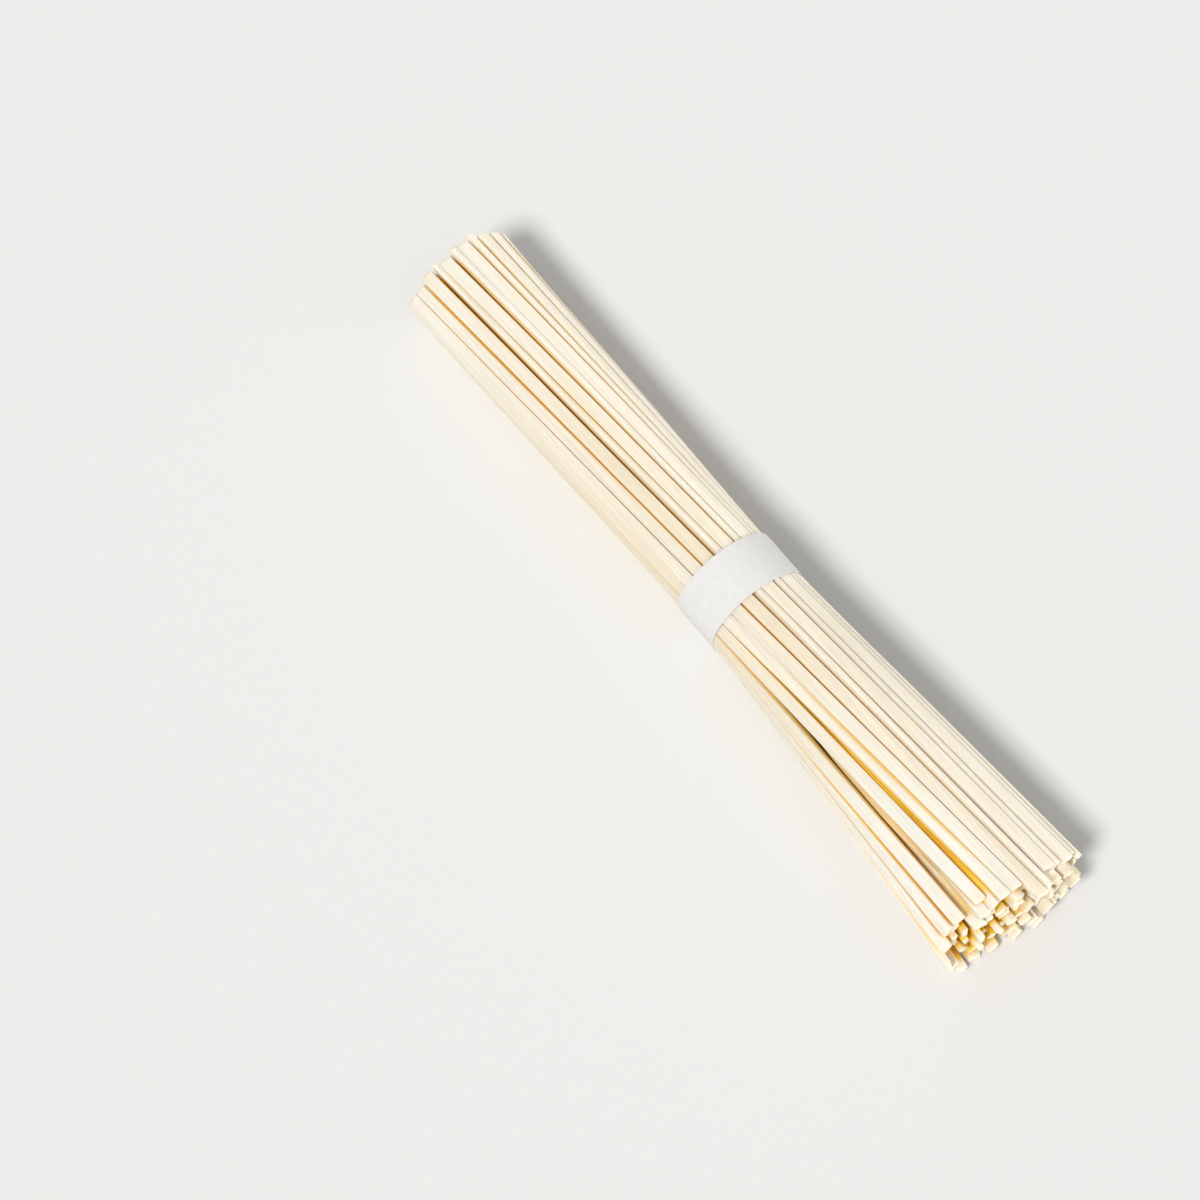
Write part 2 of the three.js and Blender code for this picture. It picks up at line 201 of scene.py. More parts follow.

# Painted light: the faces are palest on the lit left side, towards both ends.
PAINTED_LIGHT_ACROSS = ((-4.0, 1.0), (4.0, 0.2))
PAINTED_LIGHT_ALONG = ((-100.0, 0.7), (-40.0, 0.0), (20.0, 0.0), (80.0, 1.0))

# Painted shade: on the shaded right side of the loose half the faces are darker near the band, and the
# painted shade in the gaps is faint there.
PAINTED_SHADE_ACROSS = ((1.0, 0.0), (7.0, 1.0))
PAINTED_SHADE_ALONG = ((0.0, 0.0), (25.0, 1.0), (45.0, 0.7), (65.0, 0.35), (100.0, 0.1))
FAINT_GAP_SHADE_ALONG = ((0.0, 0.0), (25.0, 1.0))

# The paper strip goes once round the bundle and laps over its own start, onto which it climbs in a few
# steps. Its outline is a mean over some turns to either side, and its right side, away from the light,
# is painted greyer as painted shade.
PAPER_WIDTH = 12.5
PAPER_THICKNESS = 0.12
PAPER_GAP = 0.05
PAPER_MARGIN = 1.0
PAPER_SIDES = 240
PAPER_ROWS = 15
PAPER_LAP = 0.09
PAPER_START = math.radians(-38)
PAPER_CLIMB = 5
PAPER_SMOOTH = np.radians(np.linspace(-9, 9, 13))
PAPER_SHARP = math.radians(40)
PAPER_SHADE_ACROSS = ((-4.0, 0.0), (8.0, 1.0))

# The noodles' faces: two colours that the noodles lie between, the painted light of the lit left side,
# the painted shade of the shaded right side, and streaks.
BLACK = (0, 0, 0, 1)
WHITE = (1, 1, 1, 1)
FACE_COLOURS = ((0.9, 0.82, 0.69, 1), (0.85, 0.73, 0.56, 1))
PAINTED_LIGHT_FACE = (0.905, 0.85, 0.755, 1)
PAINTED_SHADE_FACE = (0.79, 0.71, 0.59, 1)
STREAK_STOPS = ((0.35, (0.905, 0.89, 0.86, 1)), (0.65, WHITE))

# Painted shade in the gaps, beige, and a painted golden glow that stands in for light through the
# noodles:
# their colours, and between which values of the painted gap shade the shallow and deep ones come in.
SHALLOW_PAINTED_SHADE = (0.64, 0.52, 0.36, 1)
SHALLOW_PAINTED_GLOW = (0.97, 0.60, 0.06, 1)
DEEP_PAINTED_SHADE = (0.38, 0.29, 0.18, 1)
DEEP_PAINTED_GLOW = (0.82, 0.45, 0.03, 1)
FAINT_GAP_SHADE = (0.97, 0.85, 0.7, 1)
SHALLOW_STOPS = ((0.32, BLACK), (0.6, WHITE))
DEEP_STOPS = ((0.65, BLACK), (0.95, WHITE))

# The paper: its cloudy white, and what its right side is multiplied by for painted shade.
PAPER_STOPS = ((0.3, (0.733, 0.72, 0.69, 1)), (0.7, (0.773, 0.763, 0.736, 1)))
PAPER_PAINTED_SHADE = (0.83, 0.828, 0.822, 1)

# The noise of the surfaces, by its scale for each metre along the bundle, across it and up, and the
# bumps that some of it makes, by their depth in metres.
STREAK_NOISE = {"scale": (25, 1700, 1700), "detail": 4.0}
GRAIN_NOISE = {"scale": (900, 3500, 3500), "detail": 3.0}
GRAIN_BUMP = {"strength": 0.25, "depth": 0.00006}
CLOUD_NOISE = {"scale": (700, 700, 700), "detail": 5.0}
FIBRE_NOISE = {"scale": (2600, 900, 900), "detail": 4.0, "distortion": 1.5}
FIBRE_BUMP = {"strength": 0.6, "depth": 0.00018}

# What is the same all over a surface.
NOODLE_FINISH = {
    "Roughness": 0.6,
    "Specular IOR Level": 0.3,
    "Subsurface Weight": 0.35,
    "Subsurface Radius": (1.0, 0.6, 0.2),
    "Subsurface Scale": 0.003,
}
PAPER_FINISH = {"Roughness": 0.85, "Specular IOR Level": 0.25}
FLOOR_FINISH = {"Base Color": (0.868, 0.864, 0.844, 1), "Roughness": 0.9, "Specular IOR Level": 0.1}
FLOOR_HALF = 4.0

# Where a colour mix keeps its share, its two colours and its result among its sockets.
MIX_INPUTS = (0, 6, 7)
MIX_RESULT = 2

# The light: an even surround, a key sun, and a wide fill sun that lights the bundle alone. A sun is
# given by the direction towards it, its strength and its width in degrees.
WORLD_COLOUR = (0.985, 0.99, 1.0, 1)
WORLD_STRENGTH = 0.46
KEY_SUN = {"towards": (0.27, -0.67, 0.93), "strength": 2.12, "width": 16}
FILL_SUN = {"towards": (0.7, 0.68, 0.1), "strength": 3.65, "width": 70}
FILL_COLOUR = (1.0, 0.985, 0.99)

# The view of the photograph: its direction, distance and field, and where the band sits in the picture.
PICTURE = 1200
BAND_PIXEL = (741, 592)
VIEW_AZIMUTH = math.radians(51.8)
VIEW_ELEVATION = math.radians(64)
VIEW_DISTANCE = 1.3
PIXELS_PER_METRE = 4490


# The layout of the noodles

def seeded(seed):
    """A generator of evenly spread numbers from 0 to 1, the same on every run."""
    state = seed
    while True:
        state = (state * DRAW_FACTOR + DRAW_STEP) % DRAW_RANGE
        yield state / DRAW_RANGE


layout_numbers = seeded(SEED)


def draw():
    return next(layout_numbers)


def spread(amount):
    return (2 * draw() - 1) * amount


class Section:
    """A noodle's section: its middle, the direction of its width, and how easily it gives way."""

    def __init__(self, y, z, angle, give):
        self.y = y
        self.z = z
        self.c = math.cos(angle)
        self.s = math.sin(angle)
        self.give = give

    def push(self, lever, ny, nz, amount):
        step = amount * self.give
        self.y += ny * step
        self.z += nz * step
        turn = lever * (self.c * nz - self.s * ny) * step / INERTIA
        c = self.c - self.s * turn
        s = self.s + self.c * turn
        size = math.sqrt(c * c + s * s)
        self.c = c / size
        self.s = s / size

    def ease(self, lever, ny, nz):
        arm = lever * (self.c * nz - self.s * ny)
        return self.give * (1 + arm * arm / INERTIA)


def contact(p, q):
    """The deepest overlap of two noodles, each taken as three discs in a row."""
    gy = q.y - p.y
    gz = q.z - p.z
    if gy * gy + gz * gz > REACH * REACH:
        return None
    found = None
    deepest = 0
    for a in LEVERS:
        for b in LEVERS:
            dy = gy + b * q.c - a * p.c
            dz = gz + b * q.s - a * p.s
            apart = math.sqrt(dy * dy + dz * dz)
            if 2 * DISC - apart > deepest:
                deepest = 2 * DISC - apart
                found = (a, b, dy / apart, dz / apart, deepest)
    return found


def separate(pieces):
    for i, p in enumerate(pieces):
        for q in pieces[i + 1:]:
            hit = contact(p, q)
            if hit is None:
                continue
            a, b, ny, nz, deep = hit
            amount = deep / (p.ease(a, ny, nz) + q.ease(b, ny, nz))
            p.push(a, ny, nz, -amount)
            q.push(b, ny, nz, amount)


def confine(pieces, half_width, half_height):
    for p in pieces:
        for a in LEVERS:
            y = p.y + a * p.c
            z = p.z + a * p.s
            out = math.hypot(y / (half_width - DISC), z / (half_height - DISC))
            if out <= 1:
                continue
            dy = y / out - y
            dz = z / out - z
            far = math.hypot(dy, dz)
            p.push(a, dy / far, dz / far, far / p.ease(a, dy / far, dz / far))


def stand_on(pieces, floor):
    """Raises every noodle whose lowest corner is under the given height."""
    for p in pieces:
        down = (NOODLE_WIDTH * abs(p.s) + NOODLE_THICKNESS * abs(p.c)) / 2
        under = floor + down - p.z
        lever = LEVERS[0] if p.s > 0 else LEVERS[2]
        if under > 0:
            p.push(lever, 0, 1, under / p.ease(lever, 0, 1))


def tilt_of(i):
    tilt = spread(FLAT_TILT)
    return EDGE_TILT + tilt if i in ON_EDGE else tilt


outer_tilts = [tilt_of(i) for i in range(OUTER_COUNT)]


def share_of(tilt):
    """How much of the ring a tilted noodle takes up."""
    return NOODLE_WIDTH * abs(math.cos(tilt)) + NOODLE_THICKNESS * abs(math.sin(tilt))


def depth_of(tilt):
    """How deep a tilted noodle reaches from the surface."""
    return NOODLE_WIDTH * abs(math.sin(tilt)) + NOODLE_THICKNESS * abs(math.cos(tilt))


def oval_reach(half_width, half_height, fullness, angle):
    """How far an oval reaches from its middle in one direction."""
    across = abs(math.cos(angle) / half_width) ** fullness
    up = abs(math.sin(angle) / half_height) ** fullness
    return (across + up) ** (-1 / fullness)


def oval_point(oval, inward, angle):
    """A point a distance inside an oval, in one direction from its middle."""
    half_width = oval["half_width"] - inward
    half_height = oval["half_height"] - inward
    reach = oval_reach(half_width, half_height, oval["fullness"], angle)
    return reach * math.cos(angle), reach * math.sin(angle)


def fuller_by(oval, angle):
    """How much further an oval reaches in one direction than an ellipse of its size."""
    sizes = (oval["half_width"], oval["half_height"])
    return oval_reach(*sizes, oval["fullness"], angle) / oval_reach(*sizes, ELLIPSE, angle)


def arc_lengths(oval):
    """Lengths round an oval at even steps of the angle, counted from the oval's start."""
    points = [oval_point(oval, LAYER / 2, oval["start"] + RING_STEP * k) for k in range(RING_STEPS + 1)]
    lengths = [0.0]
    for p, q in zip(points, points[1:]):
        lengths.append(lengths[-1] + math.dist(p, q))
    return lengths


def outer_layer(oval):
    """The outer layer side by side round an oval, about the oval's middle."""
    lengths = arc_lengths(oval)
    spaces = [oval["partings"].get(i, TOP_SPACE) for i in range(TOP_COUNT)]
    left = lengths[-1] - sum(share_of(tilt) for tilt in outer_tilts) - sum(spaces)
    even = left / (OUTER_COUNT - TOP_COUNT)
    pieces = [None] * OUTER_COUNT
    gone = 0
    k = 0
    for n in range(OUTER_COUNT):
        i = (FIRST_NOODLE + n) % OUTER_COUNT
        tilt = outer_tilts[i]
        centre = gone + share_of(tilt) / 2
        while lengths[k + 1] < centre:
            k += 1
        part = (centre - lengths[k]) / (lengths[k + 1] - lengths[k])
        angle = oval["start"] + RING_STEP * (k + part)
        y, z = oval_point(oval, CLEARANCE + depth_of(tilt) / 2, angle)
        before = oval_point(oval, LAYER / 2, angle - RING_STEP)
        after = oval_point(oval, LAYER / 2, angle + RING_STEP)
        along = math.atan2(after[1] - before[1], after[0] - before[0])
        pieces[i] = Section(y, z, along + tilt, OUTER_GIVE)
        gone += share_of(tilt) + (spaces[i] if i < TOP_COUNT else even)
    return pieces


def inner_noodles():
    """The noodles inside, squeezed from loose rings into the oval that the outer layer leaves."""
    half_width = OVAL["half_width"] - LAYER
    half_height = OVAL["half_height"] - LAYER
    pieces = []
    for ring, count in enumerate(INNER_RINGS):
        inward = (ring + 0.5) * LAYER
        first = draw()
        for i in range(count):
            angle = 2 * math.pi * (i + first + spread(INNER_ASIDE)) / count
            y = (half_width - inward) * INNER_LOOSE * math.cos(angle)
            z = (half_height - inward) * INNER_LOOSE * math.sin(angle)
            tilt = spread(INNER_TILT * (1 + ring))
            pieces.append(Section(y, z, angle + math.pi / 2 + tilt, INNER_GIVE))
    for turn in range(SQUEEZE_TURNS):
        slack = 1 + SQUEEZE_SLACK * max(0, 1 - SQUEEZE_SPEED * turn / SQUEEZE_TURNS)
        for p in pieces:
            p.y *= SQUEEZE_DRAW
            p.z *= SQUEEZE_DRAW
        confine(pieces, half_width * slack, half_height * slack)
        separate(pieces)
    return pieces


def waist_section():
    outer = outer_layer(OVAL)
    pieces = outer + inner_noodles()
    for _ in range(JOIN_TURNS):
        separate(pieces)
        confine(outer, OVAL["half_width"], OVAL["half_height"])
    for p in pieces:
        p.z += MIDDLE
    return pieces


def end_section(waist, end):
    """All noodles at one end: the outer layer on its oval, the others carried there by the twist."""
    slope = end["twist"] * end["x"]
    stretch = math.sqrt(1 + slope * slope)
    side = end["half_width"] / (OVAL["half_width"] * stretch)
    up = end["half_height"] / (OVAL["half_height"] * stretch)
    pieces = outer_layer(end)
    for p in waist[OUTER_COUNT:]:
        z = p.z - MIDDLE
        angle = math.atan2(p.s, p.c) - math.atan(slope) + spread(end["turn"])
        carried_y = (p.y + slope * z) * side
        carried_z = (z - slope * p.y) * up
        apart = end["apart"] * fuller_by(end, math.atan2(carried_z, carried_y))
        end_y = carried_y * apart + spread(end["shift"])
        end_z = carried_z * apart + spread(end["shift"])
        pieces.append(Section(end_y, end_z, angle, INNER_GIVE))
    top = pieces[FILLED_FROM]
    angle = math.atan2(top.s, top.c)
    for i, (left, layers) in end["filling"].items():
        pieces[i] = Section(top.y - left, top.z - LAYER * layers, angle, INNER_GIVE)
    for p in pieces:
        p.y += end["aside"]
        p.z += end["half_height"]
    return pieces


def between(p, q):
    angle = math.atan2(p.s + q.s, p.c + q.c)
    return Section((p.y + q.y) / 2, (p.z + q.z) / 2, angle, p.give)


def lay_out():
    """All noodles' sections at the five stations, settled side by side, with one then slid aside."""
    waist = waist_section()
    tight = end_section(waist, TIGHT_END)
    loose = end_section(waist, LOOSE_END)
    sides = [(end, [between(p, e) for p, e in zip(waist, end)]) for end in (tight, loose)]
    for _ in range(SETTLE_TURNS):
        for end, quarter in sides:
            for p, m, e in zip(waist, quarter, end):
                m.y += SETTLE_STIFF * ((p.y + e.y) / 2 - m.y)
                m.z += SETTLE_STIFF * ((p.z + e.z) / 2 - m.z)
                e.y += SETTLE_FOLLOW * (2 * m.y - p.y - e.y)
                e.z += SETTLE_FOLLOW * (2 * m.z - p.z - e.z) - SETTLE_SINK
            separate(quarter)
            separate(end)
            stand_on(quarter, LIFT / 2)
            stand_on(end, 0)
    settled = (tight, sides[0][1], waist, sides[1][1], loose)
    stations = np.array([[(p.y, p.z, p.c, p.s) for p in pieces] for pieces in settled])
    for i, slide in SLID_ASIDE.items():
        stations[-1, i, 0] += slide
    return stations


def noodle_ends(stations):
    """Where each noodle begins and ends along X. On top the loose end is cut straight."""
    start = -NOODLE_LENGTH / 2 - BAND_OFFSET
    finish = start + NOODLE_LENGTH
    ends = []
    for i, (y, z) in enumerate(stations[-1, :, :2]):
        back = spread(UNEVEN_TIGHT)
        on_top = i < TOP_COUNT
        lean = 0 if on_top else LOOSE_SLANT * y + LOOSE_LEAN * (LOOSE_TOP - z)
        out = lean + spread(UNEVEN_TIGHT if on_top else UNEVEN_LOOSE)
        ends.append((start - TIGHT_OUT.get(i, back), finish + LOOSE_OUT.get(i, out)))
    return ends


def sections_at(stations, i, x):
    """Middles and width directions of one or more noodles at places along X, on smooth curves."""
    last = len(STATIONS) - 2
    x = np.asarray(x, float)
    k = np.clip(np.floor((x - STATIONS[0]) / STATION_STEP).astype(int), 0, last)
    t = ((x - STATIONS[0]) / STATION_STEP - k)[:, None]
    p = stations[k, i]
    q = stations[k + 1, i]
    rise = q - p
    before = stations[np.maximum(k - 1, 0), i]
    after = stations[np.minimum(k + 2, last + 1), i]
    start = np.where((k > 0)[:, None], (q - before) / 2, rise)
    finish = np.where((k < last)[:, None], (after - p) / 2, rise)
    bend = start + finish - 2 * rise
    curve = p + t * (start + t * (rise - start - bend + t * bend))
    size = np.hypot(curve[:, 2], curve[:, 3])
    return curve[:, 0], curve[:, 1], curve[:, 2] / size, curve[:, 3] / size


# Meshes

def add_object(name, data):
    item = bpy.data.objects.new(name, data)
    bpy.context.scene.collection.objects.link(item)
    return item


def make_piece(name, points, faces, place, material):
    """A smooth mesh object from points in the layout, which lies at a place given in metres."""
    mesh = bpy.data.meshes.new(name)
    mesh.from_pydata((np.asarray(points) * MM + place).tolist(), [], faces)
    mesh.polygons.foreach_set("use_smooth", [True] * len(faces))
    mesh.materials.append(material)
    mesh.update()
    return add_object(name, mesh)


def give_values(piece, name, values):
    attribute = piece.data.attributes.new(name, "FLOAT", "POINT")
    attribute.data.foreach_set("value", np.asarray(values, np.float32))


def section_steps():
    """The points round a section: corner signs, turn of the edge, and way in along the wide face."""
    steps = []
    for corner, (a, b) in enumerate(((1, 1), (-1, 1), (-1, -1), (1, -1))):
        edge = [(a, b, math.radians(turn + 90 * corner), 0.0) for turn in EDGE_TURNS]
        if corner % 2 == 0:
            steps += edge + [(a, b, edge[-1][2], FACE_MARGIN)]
        else:
            steps += [(a, b, edge[0][2], FACE_MARGIN)] + edge
    return steps


def crown_of(a, b, turn, margin):
    """The turn of the shading at one of the points: a wide face shades as if a little crowned."""
    on_wide_face = abs(math.cos(turn)) < TINY
    lean = FACE_CROWN if margin else EDGE_CROWN
    return turn - a * b * math.radians(lean) if on_wide_face else turn


SECTION_STEPS = section_steps()
SECTION_CROWNS = np.array([crown_of(*step) for step in SECTION_STEPS])
SECTION_NORMALS = np.stack([np.cos(SECTION_CROWNS), np.sin(SECTION_CROWNS)], axis=1)


def rounded_section(width, thickness, inset):
    """Points round a noodle's section, with rounded edges, drawn in by an inset."""
    points = []
    for a, b, turn, margin in SECTION_STEPS:
        y = a * (width / 2 - EDGE_ROUND - margin) + EDGE_ROUND * math.cos(turn)
        z = b * (thickness / 2 - EDGE_ROUND) + EDGE_ROUND * math.sin(turn)
        points.append((y * (1 - 2 * inset / width), z * (1 - 2 * inset / thickness)))
    return np.array(points)


def ring_places(first, last):
    """Places along a noodle and the inset there, close together at the cut ends."""
    offsets = np.array([offset for offset, inset in END_RINGS])
    insets = np.array([inset for offset, inset in END_RINGS])
    inner = np.linspace(first + offsets[-1], last - offsets[-1], NOODLE_RINGS)[1:-1]
    places = np.concatenate([first + offsets, inner, last - offsets[::-1]])
    return places, np.concatenate([insets, np.zeros(len(inner)), insets[::-1]])


def tube_faces(start, rings, sides):
    """Quads of a tube whose rings follow each other in the point list, and its two end faces."""
    faces = []
    for k in range(rings - 1):
        for j in range(sides):
            a = start + k * sides + j
            b = start + k * sides + (j + 1) % sides
            faces.append((a, b, b + sides, a + sides))
    last = start + (rings - 1) * sides
    faces.append(tuple(range(start + sides - 1, start - 1, -1)))
    faces.append(tuple(range(last, last + sides)))
    return faces


def noodle_points(stations, i, ends, numbers):
    """All points of one noodle, and the normals there."""
    width = SWELL + NOODLE_WIDTH * (1 + WIDTH_SPREAD * numbers.uniform(-1, 1))
    thickness = NOODLE_THICKNESS * (1 + THICKNESS_SPREAD * numbers.uniform(-1, 1))
    places, insets = ring_places(*ends)
    y, z, c, s = sections_at(stations, i, places)
    waves = numbers.uniform(*WAVE_RATES, 2)
    phases = numbers.uniform(0, 2 * math.pi, 2)
    y = y + WAVE * np.sin(places * waves[0] + phases[0])
    z = z + WAVE * np.sin(places * waves[1] + phases[1])
    slants = numbers.uniform(-END_SLANT, END_SLANT, (2, 2))
    middle = sum(ends) / 2
    na, nb = SECTION_NORMALS.T
    points = []
    normals = []
    for k, x in enumerate(places):
        section = rounded_section(width, thickness, insets[k])
        a, b = section.T
        near = max(0, 1 - min(x - ends[0], ends[1] - x) / END_RINGS[-1][0])
        slant = slants[0 if x < middle else 1]
        chips = END_CHIP * numbers.uniform(-1, 1, len(section))
        along = x + near * (slant[0] * a + slant[1] * b + chips)
        across = y[k] + a * c[k] - b * s[k]
        height = np.maximum(REST, z[k] + a * s[k] + b * c[k])
        points.append(np.stack([along, across, height], axis=1))
        out = near * (-1 if x < middle else 1)
        normal_y = na * c[k] - nb * s[k]
        normal_z = na * s[k] + nb * c[k]
        normals.append(np.stack([np.full(len(a), out), normal_y, normal_z], axis=1))
    return np.concatenate(points), np.concatenate(normals)


def ray_hits(starts, directions, y, z, c, s):
    """Which rays across the bundle meet which noodles, as starts by directions by noodles."""
    dy = starts[:, None, 0] - y
    dz = starts[:, None, 1] - z
    entry = np.full((len(starts), len(directions), len(y)), -np.inf)
    leave = np.full_like(entry, np.inf)
    for u, v, half in ((c, s, NOODLE_WIDTH / 2), (-s, c, NOODLE_THICKNESS / 2)):
        at = (dy * u + dz * v)[:, None, :]
        go = (directions[:, :1] * u + directions[:, 1:] * v)[None]
        go = np.where(np.abs(go) < TINY, TINY, go)
        one = (-half - at) / go
        two = (half - at) / go
        entry = np.maximum(entry, np.minimum(one, two))
        leave = np.minimum(leave, np.maximum(one, two))
    return (leave > np.maximum(entry, 0)) & (entry < RAY_REACH)


def ray_planes(ends):
    """Places along the bundle where rays are cast, closer together near the cut ends."""
    inner, outer = END_REACH
    first = sum(span[0] for span in ends) / len(ends)
    last = sum(span[1] for span in ends) / len(ends)
    return np.concatenate([
        np.linspace(first - outer, first + inner, END_PLANES, endpoint=False),
        np.linspace(first + inner, last - inner, RAY_PLANES, endpoint=False),
        np.linspace(last - inner, last + outer, END_PLANES),
    ])


def openness_at(stations, ends, x):
    """For each point of every section at one place, the share of its ways out that are not blocked."""
    count = stations.shape[1]
    y, z, c, s = sections_at(stations, np.arange(count), np.full(count, x))
    a, b = rounded_section(NOODLE_WIDTH + 2 * RAY_START, NOODLE_THICKNESS + 2 * RAY_START, 0).T
    across = y[:, None] + np.outer(c, a) - np.outer(s, b)
    height = z[:, None] + np.outer(s, a) + np.outer(c, b)
    starts = np.stack([across, height], axis=2)
    angles = 2 * math.pi * np.arange(RAY_COUNT) / RAY_COUNT
    directions = np.stack([np.cos(angles), np.sin(angles)], axis=1)
    hits = ray_hits(starts.reshape(-1, 2), directions, y, z, c, s)
    hits &= np.array([first < x < last for first, last in ends])
    own = np.repeat(np.arange(count), len(a))
    blocked_by_own = np.take_along_axis(hits, own[:, None, None], axis=2)[:, :, 0]
    free = (~hits.any(axis=2)).sum(axis=1)
    return (free / np.maximum(1, (~blocked_by_own).sum(axis=1))).reshape(count, len(a))


def hidden_values(i, table, planes, ends):
    """How hidden every point of a noodle is, from 0 in the open to 1."""
    places = ring_places(*ends)[0]
    sides = table.shape[2]
    shares = np.stack([np.interp(places, planes, table[:, i, j]) for j in range(sides)], axis=1)
    return 1 - shares.ravel()


def inside_values(ends):
    """For every point of a noodle, 0 at its cut ends and almost 1 a little way in."""
    places = ring_places(*ends)[0]
    to_end = np.minimum(places - ends[0], ends[1] - places)
    return np.repeat(1 - np.exp(-to_end / END_LIGHT), len(SECTION_STEPS))


def by_place(points, along, across, drift=0.0):
    """The product of a value that changes along the bundle and one that changes across it."""
    x, y = points.T[:2]
    return np.interp(x, *zip(*along)) * np.interp(y + drift * x, *zip(*across))


def noodle_looks(i, points, ends, hidden, tone):
    """The values by name that colour the points of one noodle: painted shade and a painted golden glow
    in the gaps, painted light on the lit left faces and painted shade on the right ones.
    """
    inside = inside_values(ends)
    # Painted shade in the gaps, weaker near the band, on edge noodles, on the filling and at the cut
    # ends.
    gap_shade_strength = GAP_SHADE_SHARES.get(i, 1) * np.interp(points[:, 0], *zip(*GAP_SHADE_ALONG))
    gap_shade_strength = gap_shade_strength * (END_GAP_SHADE + (1 - END_GAP_SHADE) * inside)
    return {
        "painted_gap_shade": gap_shade_strength * hidden,
        # Where the painted shade in the gaps becomes a painted golden glow: the lit left side.
        "painted_glow": by_place(points, PAINTED_GLOW_ALONG, PAINTED_GLOW_ACROSS, PAINTED_GLOW_DRIFT),
        # Painted light on the lit left faces.
        "painted_light": inside * by_place(points, PAINTED_LIGHT_ALONG, PAINTED_LIGHT_ACROSS),
        # Painted shade on the right faces, and fainter painted shade in the gaps there.
        "painted_shade": by_place(points, PAINTED_SHADE_ALONG, PAINTED_SHADE_ACROSS),
        "faint_gap_shade": by_place(points, FAINT_GAP_SHADE_ALONG, PAINTED_SHADE_ACROSS),
        "tone": np.full(len(points), tone),
    }


def noodle_bundle(stations, ends, place, material):
    """All noodles as one piece, with the values that colour them."""
    numbers = np.random.default_rng(SEED)
    planes = ray_planes(ends)
    table = np.array([openness_at(stations, ends, x) for x in planes])
    sides = len(SECTION_STEPS)
    points = []
    normals = []
    faces = []
    looks = []
    total = 0
    for i, span in enumerate(ends):
        own, own_normals = noodle_points(stations, i, span, numbers)
        hidden = hidden_values(i, table, planes, span)
        looks.append(noodle_looks(i, own, span, hidden, numbers.uniform()))
        faces += tube_faces(total, len(own) // sides, sides)
        points.append(own)
        normals.append(own_normals)
        total += len(own)
    piece = make_piece("noodle_strands", np.concatenate(points), faces, place, material)
    set_normals(piece, np.concatenate(normals))
    for name in looks[0]:
        give_values(piece, name, np.concatenate([values[name] for values in looks]))
    return piece


def set_normals(piece, normals):
    """Gives every corner of a side face its point's normal, and every cut end its own flat one."""
    corners = []
    for face in piece.data.polygons:
        flat = len(face.vertices) == len(SECTION_STEPS)
        corners += [face.normal if flat else normals[v] for v in face.vertices]
    lengths = np.linalg.norm(corners, axis=1)
    piece.data.normals_split_custom_set(np.array(corners) / lengths[:, None])


def layout_place(stations, ends):
    """The way in metres that brings the layout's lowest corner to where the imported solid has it."""
    low_x = min(first for first, last in ends)
    loose_ends = [last for first, last in ends[:OUTER_COUNT]]
    y, _, c, s = sections_at(stations, np.arange(OUTER_COUNT), loose_ends)
    low_y = (y - (NOODLE_WIDTH * np.abs(c) + NOODLE_THICKNESS * np.abs(s)) / 2).min()
    return np.array(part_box("noodles")[0]) - np.array([low_x, low_y, REST]) * MM


def hull_reach(corners, angles):
    """How far the corners reach in some directions across the bundle, from the band's middle."""
    y, z = (corners - (0, MIDDLE)).T
    return (np.outer(y, np.cos(angles)) + np.outer(z, np.sin(angles))).max(axis=0)


def paper_outline(corners, angles, distances):
    """Points round the noodles at given distances: where tangents of the smoothed hull cross."""
    c = np.cos(angles)
    s = np.sin(angles)
    reach = distances + np.mean([hull_reach(corners, angles + turn) for turn in PAPER_SMOOTH], axis=0)
    cross = c[:-1] * s[1:] - s[:-1] * c[1:]
    y = (reach[:-1] * s[1:] - reach[1:] * s[:-1]) / cross
    z = (reach[1:] * c[:-1] - reach[:-1] * c[1:]) / cross
    return np.stack([y, MIDDLE + z], axis=1)


def points_under_band(noodles, place):
    """The noodles' points under the paper and just beside it, as points across the bundle."""
    points = np.empty(3 * len(noodles.data.vertices))
    noodles.data.vertices.foreach_get("co", points)
    points = (points.reshape(-1, 3) - place) / MM
    return points[np.abs(points[:, 0]) < PAPER_WIDTH / 2 + PAPER_MARGIN, 1:]


def strip_faces(rows, count):
    """Quads of two skins, each of some rows of points, and of the edges that close them all round."""
    faces = []
    sheet = rows * count
    for row in range(rows - 1):
        for k in range(count - 1):
            a = row * count + k
            faces.append((a, a + count, a + count + 1, a + 1))
            faces.append((a + sheet, a + sheet + 1, a + sheet + count + 1, a + sheet + count))
    for k in range(count - 1):
        a = k
        b = (rows - 1) * count + k
        faces.append((a, a + 1, a + sheet + 1, a + sheet))
        faces.append((b + 1, b, b + sheet, b + sheet + 1))
    for row in range(rows - 1):
        a = row * count
        b = a + count - 1
        faces.append((a + count, a, a + sheet, a + sheet + count))
        faces.append((b, b + count, b + sheet + count, b + sheet))
    return faces


